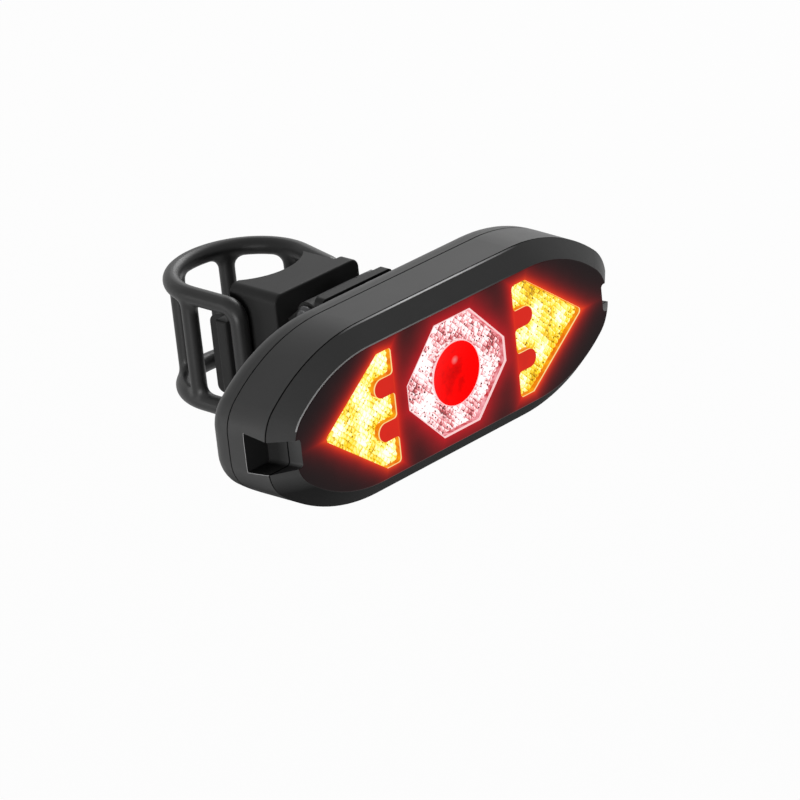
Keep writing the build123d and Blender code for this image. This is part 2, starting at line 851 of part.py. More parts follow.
def make_ear(side):
    root_y = block_front_y + overrun
    low = hinge_height - knuckle_radius
    high = hinge_height + knuckle_radius
    corners = [(hinge_y, high), (root_y, high - ear_root_drop), (root_y, low - ear_root_drop), (hinge_y, low)]
    web = make_face(Polyline(*corners, close=True))
    x_low = ear_inner_x if side > 0 else -ear_outer_x
    ear = extrude(Plane.YZ.offset(x_low) * web, amount=ear_thickness)
    return ear + rod_along_x(x_low, x_low + ear_thickness, hinge_y, hinge_height, knuckle_radius)


def ring_sector(inner, outer, from_angle, to_angle, height):
    size = to_angle - from_angle
    edges = [
        CenterArc((0, 0), inner, from_angle, size),
        CenterArc((0, 0), outer, from_angle, size),
        Line(point_at(inner, from_angle), point_at(outer, from_angle)),
        Line(point_at(inner, to_angle), point_at(outer, to_angle)),
    ]
    face = make_face(Curve() + edges)
    return extrude(Pos(0, 0, -height / 2) * face, amount=height)


def make_wing(side):
    # The wing runs from under the block's back corner to its rounded tip, side 1 on the right.
    inner = post_radius + pad_thickness
    tip = -90 + side * wing_half_angle
    root = -90 + side * wing_root_angle
    wing = ring_sector(inner, inner + wing_thickness, min(tip, root), max(tip, root), pad_height)
    tip_x = point_at(inner, tip)[0]
    corners = [e for e in wing.edges() if e.length < wing_thickness + overrun / 2
               and abs(e.center().X) > abs(tip_x) - overrun / 2 and abs(e.center().Z) > pad_height / 3]
    return fillet(corners, wing_corner_radius)


def make_saddle_block():
    block = box_between((-block_width / 2, block_front_y, -block_height / 2),
                        (block_width / 2, -block_back, block_height / 2))
    block = fillet(block.edges().filter_by(Axis.Y), block_edge_radius)
    block = fillet(block.faces().sort_by(Axis.Y)[0].edges(), block_front_radius)
    bar_gap = strap_radius + soft_gap
    recess_front_y = -anchor_bar_forward - bar_gap
    block -= box_between((recess_x, recess_front_y, -block_height), (block_width, 0, block_height))
    clip_half = anchor_height / 2
    clip_outer = bar_gap + anchor_wall
    clip = box_between((recess_x - overrun, recess_front_y - overrun, -clip_half),
                       (anchor_bar_x, -anchor_bar_forward + clip_outer, clip_half))
    clip += rod_along_z(anchor_bar_x, -anchor_bar_forward, clip_outer, -clip_half, clip_half)
    clip &= box_between((0, recess_front_y - overrun, -block_height), (block_width, 0, block_height))
    block += clip
    for side in [1, -1]:
        block += make_wing(side)
    rib_front_y = -strap_end_bar_forward + strap_radius + soft_gap
    rib_tip_x = -block_width / 2 - hook_reach
    rib = box_between((rib_tip_x, rib_front_y, -pad_height / 2),
                      (-block_width / 2 + hook_thickness / 2, rib_front_y + hook_thickness, pad_height / 2))
    rib = fillet(rib.faces().sort_by(Axis.X)[0].edges(), hook_corner_radius)
    block += rib
    block -= Cylinder(post_radius + post_relief, 2 * block_height)
    block -= Cylinder(post_radius + pad_thickness, pad_height + 2 * pad_recess_gap)
    block -= rod_along_z(anchor_bar_x, -anchor_bar_forward, bar_gap, -block_height, block_height)
    block -= box_between((anchor_bar_x, -anchor_bar_forward - anchor_mouth / 2, -block_height),
                         (block_width, -anchor_bar_forward + anchor_mouth / 2, block_height))
    for side in [1, -1]:
        block += make_ear(side)
    bore = bolt_radius + bolt_running_gap
    return block - rod_along_x(-block_width / 2, block_width / 2, hinge_y, hinge_height, bore)


def make_saddle_pad():
    start = -90 - pad_half_angle
    return ring_sector(post_radius, post_radius + pad_thickness, start, start + 2 * pad_half_angle, pad_height)


def strap_tangent():
    # Where the straight run from the anchor meets the circle round the post, and the run's direction.
    reach = math.hypot(anchor_bar_x, anchor_bar_forward)
    bar_angle = math.degrees(math.atan2(-anchor_bar_forward, anchor_bar_x))
    angle = bar_angle + math.degrees(math.acos(strap_path_radius / reach))
    x, y = point_at(strap_path_radius, angle)
    run = math.hypot(x - anchor_bar_x, y + anchor_bar_forward)
    return angle, ((x - anchor_bar_x) / run, (y + anchor_bar_forward) / run)


def strap_half():
    # One half of the ladder's frame, from the middle of the anchor bar to the middle of the end bar.
    tangent_angle, (dx, dy) = strap_tangent()
    bar = (anchor_bar_x, -anchor_bar_forward)
    corner = strap_corner_radius
    top = strap_half_height
    bend = corner * (1 - math.sqrt(2) / 2)
    start = Line((*bar, 0), (*bar, top - corner))
    first = ThreePointArc(
        (*bar, top - corner),
        (bar[0] + dx * bend, bar[1] + dy * bend, top - bend),
        (bar[0] + dx * corner, bar[1] + dy * corner, top),
    )
    tangent = point_at(strap_path_radius, tangent_angle)
    right = Line((bar[0] + dx * corner, bar[1] + dy * corner, top), (*tangent, top))
    back = point_at(strap_path_radius, 90)
    around = ThreePointArc((*tangent, top), (*back, top), (-strap_path_radius, 0, top))
    end_y = -strap_end_bar_forward
    left = Line((-strap_path_radius, 0, top), (-strap_path_radius, end_y + corner, top))
    last = ThreePointArc(
        (-strap_path_radius, end_y + corner, top),
        (-strap_path_radius, end_y + bend, top - bend),
        (-strap_path_radius, end_y, top - corner),
    )
    finish = Line((-strap_path_radius, end_y, top - corner), (-strap_path_radius, end_y, 0))
    runs = [start, first, right, around, left, last, finish]
    path = Wire([run.edge() for run in runs])
    section = Plane(origin=(*bar, 0), z_dir=(0, 0, 1)) * Circle(strap_radius)
    return sweep(section, path=path)


def strap_bar_angles():
    # Cross bars follow the end bar at equal steps along the strap.
    angles = []
    for step in range(1, strap_cross_bars + 1):
        along = step * strap_bar_pitch - strap_end_bar_forward
        angles.append(180 - math.degrees(along / strap_path_radius))
    return angles


def make_strap():
    upper = strap_half()
    strap = upper + mirror(upper, about=Plane.XY)
    for angle in strap_bar_angles():
        x, y = point_at(strap_path_radius, angle)
        strap += rod_along_z(x, y, strap_bar_radius, -strap_half_height, strap_half_height)
    return strap


def make_hinge_bolt():
    head = rod_along_x(-ear_outer_x - bolt_head_height, -ear_outer_x, hinge_y, hinge_height, bolt_head_radius)
    head = fillet(head.faces().sort_by(Axis.X)[0].edges(), bolt_head_round)
    key = Plane(origin=(-ear_outer_x - bolt_head_height, hinge_y, hinge_height), z_dir=(1, 0, 0))
    head -= extrude(key * RegularPolygon(hex_key_width / 2, 6, major_radius=False), amount=hex_key_depth)
    end_x = ear_outer_x + nut_height + bolt_end_length
    return head + rod_along_x(-ear_outer_x, end_x, hinge_y, hinge_height, bolt_radius)


def make_hinge_nut():
    place = Plane(origin=(ear_outer_x, hinge_y, hinge_height), z_dir=(1, 0, 0)) * Rot(0, 0, nut_turn)
    outline = place * RegularPolygon(nut_across_flats / 2, nut_sides, major_radius=False)
    nut = extrude(outline, amount=nut_height)
    return nut - rod_along_x(0, block_width, hinge_y, hinge_height, bolt_radius + screw_hole_gap)


def make_center_led():
    return led_at(0, 0, center_led_size)


os.makedirs("parts", exist_ok=True)
save(make_saddle_block(), "saddle_block")
save(make_saddle_pad(), "saddle_pad")
save(make_strap(), "ladder_strap")
save(make_hinge_bolt(), "hinge_bolt")
save(make_hinge_nut(), "hinge_nut")
save(make_cradle(), "cradle")
save(make_shoe(), "lamp_shoe")
save(make_shoe_screws(), "shoe_screws")
save(make_lens_cover(), "lens_cover")
save(make_gasket(cover_depth), "cover_gasket")
save(make_middle_housing(), "middle_housing")
save(make_gasket(middle_end_depth - gasket_height + gasket_squeeze), "housing_gasket")
save(make_rear_shell(), "rear_shell")
save(make_housing_screws(), "housing_screws")
save(make_arrow_lens(1), "arrow_lens_right")
save(make_arrow_lens(-1), "arrow_lens_left")
save(make_hexagon_lens(), "hexagon_lens")
save(make_disc_lens(), "disc_lens")
save(make_reflector_tray(), "reflector_tray")
save(make_board(), "led_board")
save(make_arrow_leds(), "arrow_leds")
save(make_ring_leds(), "ring_leds")
save(make_center_led(), "center_led")
save(make_chips(), "control_chips")
save(make_battery(), "battery")
save(make_battery_tape(), "battery_tape")
save(make_battery_leads(), "battery_leads")
save(make_buzzer(), "buzzer")
save(make_socket(), "charging_socket")
save(make_usb_flap(), "socket_flap")
save(make_power_button(), "power_button")
save(make_switch(), "button_switch")
save(make_plunger(), "switch_plunger")
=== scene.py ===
import math

import bpy
from mathutils import Matrix, Vector


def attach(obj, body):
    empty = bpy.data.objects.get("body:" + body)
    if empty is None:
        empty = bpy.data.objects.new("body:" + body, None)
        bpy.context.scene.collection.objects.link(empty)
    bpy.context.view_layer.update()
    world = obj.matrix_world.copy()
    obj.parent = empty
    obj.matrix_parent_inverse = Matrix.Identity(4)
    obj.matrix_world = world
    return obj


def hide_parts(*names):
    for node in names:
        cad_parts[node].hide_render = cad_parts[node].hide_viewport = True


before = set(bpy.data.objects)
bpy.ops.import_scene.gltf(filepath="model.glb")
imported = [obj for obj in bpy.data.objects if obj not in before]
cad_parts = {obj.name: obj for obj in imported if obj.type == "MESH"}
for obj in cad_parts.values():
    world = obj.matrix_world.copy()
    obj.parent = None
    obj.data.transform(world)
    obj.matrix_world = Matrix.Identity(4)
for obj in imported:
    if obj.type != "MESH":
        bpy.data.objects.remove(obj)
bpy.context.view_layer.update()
mm = 0.001
mmPerMetre = 1000.0


# shader helpers

class Signal:
    # wraps a socket, so that shader maths reads as an expression
    def __init__(self, finish, socket):
        self.finish = finish
        self.socket = socket

    def join(self, operation, other=0.0, swapped=False):
        first, second = (other, self) if swapped else (self, other)
        return self.finish.node("ShaderNodeMath", {"operation": operation}, {0: first, 1: second})

    def __add__(self, other):
        return self.join("ADD", other)

    def __radd__(self, other):
        return self.join("ADD", other)

    def __sub__(self, other):
        return self.join("SUBTRACT", other)

    def __rsub__(self, other):
        return self.join("SUBTRACT", other, True)

    def __mul__(self, other):
        return self.join("MULTIPLY", other)

    def __rmul__(self, other):
        return self.join("MULTIPLY", other)

    def __truediv__(self, other):
        return self.join("DIVIDE", other)

    def __pow__(self, other):
        return self.join("POWER", other)

    def __abs__(self):
        return self.join("ABSOLUTE")

    def least(self, other):
        return self.join("MINIMUM", other)

    def most(self, other):
        return self.join("MAXIMUM", other)

    def above(self, edge):
        return self.join("GREATER_THAN", edge)

    def unit(self):
        return self.most(0.0).least(1.0)

    def falloff(self, length):
        # 1 at zero and below, then fading out over the length
        return (self.most(0.0) * (-1.0 / length)).join("EXPONENT")


class Finish:
    # one material or the world, with the shader's plain values set on its own sockets
    def __init__(self, owner, values, shader="Principled BSDF"):
        self.material = bpy.data.materials.new(owner) if isinstance(owner, str) else owner
        self.material.use_nodes = True
        self.tree = self.material.node_tree
        self.shader = self.tree.nodes[shader]
        for key, value in values.items():
            self.shader.inputs[key].default_value = value

    def node(self, kind, settings, sockets, output=0):
        made = self.tree.nodes.new(kind)
        for key, value in settings.items():
            if key == "stops":
                ramp = made.color_ramp
                for index, (position, color) in enumerate(value):
                    stop = ramp.elements[index] if index < 2 else ramp.elements.new(position)
                    stop.position = position
                    stop.color = opaque(color)
            else:
                setattr(made, key, value)
        for key, value in sockets.items():
            if isinstance(value, Signal):
                self.tree.links.new(value.socket, made.inputs[key])
            else:
                made.inputs[key].default_value = value
        return Signal(self, made.outputs[output])

    def place(self):
        return self.node("ShaderNodeTexCoord", {}, {}, "Object")

    def axes(self):
        # x, depth behind the lamp's face and z about the lamp's middle, in millimetres
        split = self.node("ShaderNodeSeparateXYZ", {}, {0: self.place()})
        x, y, z = [Signal(self, split.socket.node.outputs[index]) * mmPerMetre for index in range(3)]
        return x, y - lampPlace["frontY"], z - lampPlace["middleZ"]

    def noise(self, size, detail=2.0, roughness=0.5):
        # size is that of a blotch, in millimetres
        sockets = {"Vector": self.place(), "Scale": mmPerMetre / size, "Detail": detail,
                   "Roughness": roughness}
        return self.node("ShaderNodeTexNoise", {}, sockets)

    def cells(self, size):
        # how far the nearest of many scattered points is, their spacing given in millimetres
        sockets = {"Vector": self.place(), "Scale": mmPerMetre / size}
        return self.node("ShaderNodeTexVoronoi", {}, sockets, "Distance")

    def mix(self, factor, first, second):
        sockets = {0: factor, 6: first, 7: second}
        return self.node("ShaderNodeMix", {"data_type": "RGBA"}, sockets, 2)

    def ramp(self, signal, stops):
        return self.node("ShaderNodeValToRGB", {"stops": stops}, {0: signal})

    def feed(self, name, signal):
        self.tree.links.new(signal.socket, self.shader.inputs[name])

    def bump(self, height, distance):
        self.feed("Normal", self.node("ShaderNodeBump", {}, {"Height": height, "Distance": distance * mm}))

    def shadow(self, factor):
        # painted shade: where the factor is 1, a gap or a deep corner gives back no light
        black = self.node("ShaderNodeBsdfDiffuse", {}, {"Color": grey(shadowTone)})
        self.blend(factor, Signal(self, self.shader.outputs[0]), black)

    def blend(self, factor, first, second):
        mixed = self.node("ShaderNodeMixShader", {}, {0: factor, 1: first, 2: second})
        self.tree.links.new(mixed.socket, self.tree.nodes["Material Output"].inputs["Surface"])

    def seenRays(self):
        rays = [self.node("ShaderNodeLightPath", {}, {}, "Is " + kind + " Ray")
                for kind in ("Camera", "Glossy", "Transmission")]
        return (rays[0] + rays[1] + rays[2]).unit()


def opaque(color):
    return (*color, 1.0)


def grey(level):
    return (level, level, level, 1.0)


shadowTone = 0.001
lampPlace = {"frontY": -63.5, "middleZ": 2.3}  # its face and mid height in the CAD frame, in millimetres


# moulded plastic and rubber, with tones in linear grey and the grain in millimetres

moulded = {
    "housing": {"low": 0.034, "high": 0.050, "roughness": 0.42, "shine": 0.09,
                "grain": 0.16, "grainDepth": 0.008},
    "bracket": {"low": 0.013, "high": 0.024, "roughness": 0.42, "shine": 0.06,
                "grain": 0.22, "grainDepth": 0.006},
    "rubber": {"low": 0.009, "high": 0.018, "roughness": 0.42, "shine": 0.22,
               "grain": 0.30, "grainDepth": 0.010},
    "flap": {"low": 0.010, "high": 0.018, "roughness": 0.50, "shine": 0.22,
             "grain": 0.25, "grainDepth": 0.010},
}
skinLook = {
    "cloud": 9.0, "cloudDetail": 3.0, "cloudShare": 0.55, "grainShare": 0.45, "grainRoughness": 0.65,
    "roughFromGrain": 0.16, "roughFromCloud": 0.10,
}
# painted shade in the seam gaps between the parts
seamShadeLook = {"places": ((4.15, 0.21), (14.85, 0.15)), "sharpness": 4.0}  # places: depth and half width
# painted shade on the lamp's underside
underShadeLook = {"top": -4.6, "gain": 0.22, "shade": 0.76}
# the pocket at each end; its inside gets painted shade, and its edge behind and below gets a painted
# highlight
pocket = {
    "wallX": 47.25, "depth": 10.2, "frontHeight": 3.2, "backHeight": 4.4,
    "wallSlack": 0.04, "backSlack": 0.03,
    "shade": 0.6, "shadeFrom": 1.0, "shadeGain": 0.16,
    "edge": 0.20, "paintedHighlightTone": 0.30, "highlightSharpness": 1.6, "highlightAbove": 0.1, "highlightFrom": 4.3,
}


def pocketPaintedShadeAndHighlight(x, depth, z):
    # painted shade in the pocket's inside, and a painted highlight on the thin edge behind and below it
    look = pocket
    x = abs(x)
    rise = (look["backHeight"] - look["frontHeight"]) / look["depth"]
    over = abs(z) - depth * rise - look["frontHeight"]
    outside = x.above(look["wallX"])
    inside = outside * (look["wallSlack"] - over).above(0.0)
    inside = inside * (look["depth"] + look["backSlack"] - depth).above(0.0)
    shade = inside * ((depth - look["shadeFrom"]) * look["shadeGain"]).unit() * look["shade"]
    middle = look["edge"] / 2
    sharpness = look["highlightSharpness"] / look["edge"]
    behind = (1.0 - abs(depth - look["depth"] - middle) * sharpness).unit()
    behind = behind * (look["backHeight"] + look["highlightAbove"] - abs(z)).above(0.0)
    below = (1.0 - abs(over - middle) * sharpness).unit()
    below = below * (look["depth"] + look["edge"] - depth).above(0.0)
    below = below * (0.0 - z).above(0.0) * (depth - look["highlightFrom"]).above(0.0)
    return shade, outside * behind.most(below) * (1.0 - inside)


def paintedUnderShade(z):
    # painted shade: the lamp's underside is darker, as it gets little light
    return ((underShadeLook["top"] - z) * underShadeLook["gain"]).unit() * underShadeLook["shade"]


def mouldedSkin(finish, tone):
    # soft clouds, fine grain, and the colour that both give
    look = skinLook
    cloud = finish.noise(look["cloud"], look["cloudDetail"])
    grain = finish.noise(tone["grain"], roughness=look["grainRoughness"])
    shade = (cloud * look["cloudShare"] + grain * look["grainShare"]).unit()
    return cloud, grain, finish.mix(shade, grey(tone["low"]), grey(tone["high"]))


def mouldedFinish(name, tone, onLamp=False):
    finish = Finish(name, {"Specular IOR Level": tone["shine"]})
    cloud, grain, color = mouldedSkin(finish, tone)
    # on the lamp: painted shade in the pocket, along the seams and on the underside, and a painted
    # highlight on the pocket's edge
    if onLamp:
        x, depth, z = finish.axes()
        paintedShade, edge = pocketPaintedShadeAndHighlight(x, depth, z)
        color = finish.mix(edge, color, grey(pocket["paintedHighlightTone"]))
        paintedShade = paintedShade.most(paintedUnderShade(z))
        for seam, width in seamShadeLook["places"]:
            paintedShade = paintedShade.most((1.0 - (abs(depth - seam) / width) ** seamShadeLook["sharpness"]).unit())
        finish.shadow(paintedShade)
    finish.feed("Base Color", color)
    rough = grain * skinLook["roughFromGrain"] + cloud * skinLook["roughFromCloud"]
    middle = (skinLook["roughFromGrain"] + skinLook["roughFromCloud"]) / 2
    finish.feed("Roughness", rough + (tone["roughness"] - middle))
    finish.bump(grain, tone["grainDepth"])
    return finish.material


# the smoked cover, with its windows' half sizes in millimetres

windowShape = {
    "arrowTip": 40.6, "arrowHead": 23.3, "arrowRoot": 18.9, "arrowHeight": 13.1,
    "hexagonLength": 15.1, "hexagonHeight": 12.8, "hexagonFlat": 5.5, "hexagonEnd": 2.7,
}


def windowDistance(x, z):
    # how far a place on the face is from the arrows and from the hexagon, in millimetres
    shape = windowShape
    x = abs(x)
    z = abs(z)
    run = shape["arrowTip"] - shape["arrowHead"]
    rise = shape["arrowHeight"]
    length = math.hypot(run, rise)
    slope = (x * rise + z * run - shape["arrowTip"] * rise) / length
    arrow = slope.most(shape["arrowRoot"] - x).most(z - shape["arrowHeight"])
    run = shape["hexagonLength"] - shape["hexagonFlat"]
    rise = shape["hexagonHeight"] - shape["hexagonEnd"]
    length = math.hypot(run, rise)
    offset = (shape["hexagonLength"] * rise + shape["hexagonEnd"] * run) / length
    slope = (x * rise + z * run) / length - offset
    hexagon = slope.most(x - shape["hexagonLength"]).most(z - shape["hexagonHeight"])
    return arrow, hexagon


# painted glow on the face round the windows, and a painted pale line round the hexagon
glowLook = {
    "far": (0.022, 0.001, 0.003), "farReach": 5.0,
    "hexagon": (0.50, 0.001, 0.006), "hexagonReach": 2.5,
    "arrow": (0.66, 0.003, 0.001), "arrowReach": 1.35,
    "near": (0.86, 0.085, 0.004), "nearReach": 0.6, "nearShare": 0.10,
    "slopeShare": 0.45, "slopeX": 18.5, "slopeGain": 0.4, "slopeEdge": 0.2,
    "paleRimHighlight": (1.0, 0.66, 0.66), "rimWidth": 0.24,
    "patch": 5.0, "patchGain": 0.7, "patchLeast": 0.65,
}


def faceGlow(finish, x, arrow, hexagon):
    # painted glow: the diodes' light on the smoked face round the windows, most along the arrows' slopes,
    # with a painted pale line round the hexagon
    look = glowLook
    patch = finish.noise(look["patch"]) * look["patchGain"] + look["patchLeast"]
    fades = {"far": arrow.least(hexagon), "hexagon": hexagon, "arrow": arrow}
    glow = grey(0.0)
    for name, distance in fades.items():
        fade = (distance.falloff(look[name + "Reach"]) * patch).unit()
        glow = finish.mix(fade, glow, opaque(look[name]))
    slopes = ((abs(x) - look["slopeX"]) * look["slopeGain"]).unit() * (arrow + look["slopeEdge"]).above(0.0)
    near = arrow.falloff(look["nearReach"]) * (slopes * look["slopeShare"] + look["nearShare"])
    glow = finish.mix(near, glow, opaque(look["near"]))
    return finish.mix((look["rimWidth"] - abs(hexagon)).above(0.0), glow, opaque(look["paleRimHighlight"]))


# painted glow on the windows' walls, with a painted highlight at the face
wallGlowLook = {
    "amber": {"wall": (0.95, 0.36, 0.004), "deep": (0.80, 0.13, 0.002), "paleRimHighlight": (1.0, 0.72, 0.30)},
    "rose": {"wall": (0.95, 0.42, 0.46), "deep": (0.55, 0.012, 0.020), "paleRimHighlight": (1.0, 0.66, 0.66)},
    "rimDepth": 0.42, "depth": 2.1, "reach": 0.4, "band": 1.5, "bandGain": 3.0, "bandFrom": 1.0,
}


def windowWallGlow(finish, depth, arrow, hexagon):
    # where the windows' walls are, and their painted glow: a painted highlight at the face, then bands of
    # two tones
    look = wallGlowLook
    bands = (finish.noise(look["band"]) * look["bandGain"] - look["bandFrom"]).unit()
    atRim = (look["rimDepth"] - depth).above(0.0)
    colors = []
    for tones in (look["amber"], look["rose"]):
        color = finish.mix(bands, opaque(tones["deep"]), opaque(tones["wall"]))
        colors.append(finish.mix(atRim, color, opaque(tones["paleRimHighlight"])))
    inWindow = (look["reach"] - arrow.least(hexagon)).above(0.0) * (look["depth"] - depth).above(0.0)
    return inWindow, finish.mix((arrow - hexagon).above(0.0), *colors)


# painted highlights on the rim's inner edge and on the seam on top
rimPaintedHighlight = {
    "tone": 0.30, "depth": 0.30, "gainZ": 0.12, "shareZ": 0.5, "gainX": 0.025, "shareX": 0.55,
    "pocketX": 46.0, "pocketZ": 5.0,
}
seamPaintedHighlight = {"tone": 0.90, "depth": 3.70, "fromZ": 15.0, "middleX": -2.0, "gainX": 0.05, "shareX": 1.4}


def paintedEdgeHighlights(finish, color, x, depth, z):
    # painted highlights: the rim's inner edge is lit above and left, and the edge at the seam on top
    look = rimPaintedHighlight
    lit = (z * look["gainZ"] + look["shareZ"]).unit() * (look["shareX"] - x * look["gainX"]).unit()
    atPocket = (abs(x) - look["pocketX"]).unit() * (look["pocketZ"] - abs(z)).above(0.0)
    lit = lit * (look["depth"] - depth).above(0.0) * (1.0 - atPocket)
    color = finish.mix(lit, color, grey(look["tone"]))
    look = seamPaintedHighlight
    lit = (depth - look["depth"]).above(0.0) * (z - look["fromZ"]).unit()
    lit = lit * (look["shareX"] - abs(x - look["middleX"]) * look["gainX"]).unit()
    return finish.mix(lit, color, grey(look["tone"]))


coverLook = {
    "face": (0.0035, 0.0022, 0.0026), "faceRoughness": 0.22, "faceDepth": 0.06, "faceFade": 12.0,
    "shine": 0.10, "rimGrain": 0.14, "seamShadeDepth": 3.95,
}


def coverFinish():
    look = coverLook
    housing = moulded["housing"]
    finish = Finish("smokedCover", {"Specular IOR Level": look["shine"], "Emission Strength": 1.0})
    x, depth, z = finish.axes()
    grain, body = mouldedSkin(finish, housing)[1:]
    onFace = (1.0 - (depth - look["faceDepth"]) * look["faceFade"]).unit()
    offFace = 1.0 - onFace
    arrow, hexagon = windowDistance(x, z)
    inWindow, wallGlowColor = windowWallGlow(finish, depth, arrow, hexagon)
    wall = inWindow * offFace
    # painted glow on the face and on the windows' walls
    glow = finish.mix(onFace, grey(0.0), faceGlow(finish, x, arrow, hexagon))
    finish.feed("Emission Color", finish.mix(wall, glow, wallGlowColor))
    # painted shade in the pocket, and a painted highlight on its edge
    paintedShade, edge = pocketPaintedShadeAndHighlight(x, depth, z)
    body = finish.mix(edge, paintedEdgeHighlights(finish, body, x, depth, z), grey(pocket["paintedHighlightTone"]))
    finish.feed("Base Color", finish.mix(onFace.most(wall), body, opaque(look["face"])))
    rough = grain * look["rimGrain"] + (housing["roughness"] - look["rimGrain"] / 2)
    finish.feed("Roughness", rough * offFace + onFace * look["faceRoughness"])
    finish.bump(grain * offFace, housing["grainDepth"])
    # painted shade in the seam, in the pocket and on the underside
    seam = (depth - look["seamShadeDepth"]).above(0.0)
    finish.shadow(paintedShade.most(seam).most(paintedUnderShade(z) * offFace * (1.0 - wall)))
    return finish.material


# the lit lenses

relief = {"pitch": 1.10, "depth": 0.38, "frontY": -62.30, "backing": 4.0, "turn": 45.0, "arrowX": 30.0}
ledSpots = {
    "amber": ((0.86, 0.0), (0.66, 0.0), (0.53, 0.0), (0.69, 0.38), (0.53, 0.76)),  # shares of the arrow
    "rose": ((8.9, 5.1), (0.0, 10.2)),  # millimetres
}
lensLook = {
    "amber": {
        "slot": "amber_lens", "slabHalf": 22.0,
        "stops": ((0.0, (0.26, 0.15, 0.004)), (1.0, (1.0, 1.0, 0.88)), (0.24, (0.80, 0.42, 0.003)),
                  (0.46, (1.0, 0.74, 0.025)), (0.72, (1.0, 0.95, 0.34))),
        "warp": 0.9, "base": 0.45, "facet": 0.14, "random": 0.34, "broad": 0.78, "line": 0.26, "dot": 0.60,
        "spot": 0.52, "spotReach": 2.3,
    },
    "rose": {
        "slot": "clear_lens", "slabHalf": 24.0,
        "stops": ((0.0, (0.09, 0.035, 0.035)), (1.0, (1.0, 1.0, 1.0)), (0.24, (0.50, 0.06, 0.07)),
                  (0.46, (0.90, 0.40, 0.42)), (0.64, (1.0, 0.90, 0.90))),
        "warp": 0.8, "base": 0.57, "facet": 0.14, "random": 0.36, "broad": 1.2, "line": 0.34, "dot": 0.75,
        "spot": 0.22, "spotReach": 3.0,
    },
}
prismLook = {
    "shine": 0.3, "roughness": 0.2, "warpSize": 3.0, "sideFacet": 0.6,
    "lineFrom": 0.33, "lineGain": 7.0, "patch": 1.0, "patchGain": 6.0, "patchFrom": 2.4,
    "dotSpacing": 0.95, "dotRadius": 0.27, "dotGain": 8.0,
    "broadSize": 7.0, "fineSize": 0.7, "fine": 0.35, "unlit": 0.85,
}


def ledGlow(name, x, z, reach):
    # bright spots over the diodes behind a lens, 1 at each spot's middle
    spots = ledSpots[name]
    if name == "amber":
        spots = [(a * windowShape["arrowTip"], b * windowShape["arrowHeight"]) for a, b in spots]
    glow = 0.0
    for spotX, spotZ in spots:
        acrossX = abs(x) - spotX
        acrossZ = abs(z) - spotZ
        square = acrossX * acrossX + acrossZ * acrossZ
        glow = square.falloff(reach * reach) + glow
    return glow


def lensFinish(name):
    # facets, grooves, dots and diodes add up to a level of light, which a ramp colours
    look = lensLook[name]
    prism = prismLook
    values = {"Specular IOR Level": prism["shine"], "Roughness": prism["roughness"]}
    finish = Finish(name + "Lens", {**values, "Emission Strength": 1.0})
    x, _, z = finish.axes()
    across = abs(x) - relief["arrowX"] if name == "amber" else x
    scale = math.sqrt(0.5) / relief["pitch"]
    warp = (finish.noise(prism["warpSize"], 1.0) - 0.5) * look["warp"]
    places = [(across + z) * scale + warp, (across - z) * scale - warp]
    u, v = [place.join("FRACT") - 0.5 for place in places]
    cell = finish.node("ShaderNodeCombineXYZ", {}, {0: places[0].join("FLOOR"), 1: places[1].join("FLOOR")})
    random = finish.node("ShaderNodeTexWhiteNoise", {"noise_dimensions": "2D"}, {"Vector": cell}, "Value")
    along = (abs(u) - abs(v)).above(0.0)
    facet = along * u.join("SIGN") + (1.0 - along) * v.join("SIGN") * prism["sideFacet"]
    patch = (finish.noise(prism["patch"], 1.0) * prism["patchGain"] - prism["patchFrom"]).unit()
    line = ((abs(u).most(abs(v)) - prism["lineFrom"]) * prism["lineGain"]).unit() * patch
    inDot = prism["dotRadius"] - finish.cells(prism["dotSpacing"])
    dots = (inDot * prism["dotGain"]).unit() * look["dot"]
    level = look["base"] + facet * look["facet"] + (random - 0.5) * look["random"] - line * look["line"]
    level = level + (finish.noise(prism["broadSize"]) - 0.5) * look["broad"]
    level = level + (finish.noise(prism["fineSize"]) - 0.5) * prism["fine"]
    level = level - dots + ledGlow(name, x, z, look["spotReach"]) * look["spot"]
    color = finish.ramp(level.unit(), look["stops"])
    finish.feed("Base Color", finish.mix(prism["unlit"], color, grey(0.0)))
    finish.feed("Emission Color", color)
    return finish.material


discLook = {
    "shine": 0.03, "roughness": 0.25, "unlit": 0.9, "bright": (1.0, 0.0, 0.0), "dim": (0.50, 0.0, 0.0),
    "middleGain": 0.19, "middleShare": 0.9, "blotch": 2.0, "blotchShare": 2.4,
    "dimFrom": 0.1, "dimMost": 0.8,
    "spot": (0.5, 2.7, 1.1), "highlightColor": (0.90, 0.30, 0.30), "highlightMost": 0.7,
    "radius": 7.12, "side": (1.0, 0.90, 0.90), "sideDeep": (0.55, 0.07, 0.08),
    "speck": 0.8, "speckGain": 5.0, "speckFrom": 1.9, "paleRimHighlight": (1.0, 0.60, 0.62), "rimDepth": 0.36,
}


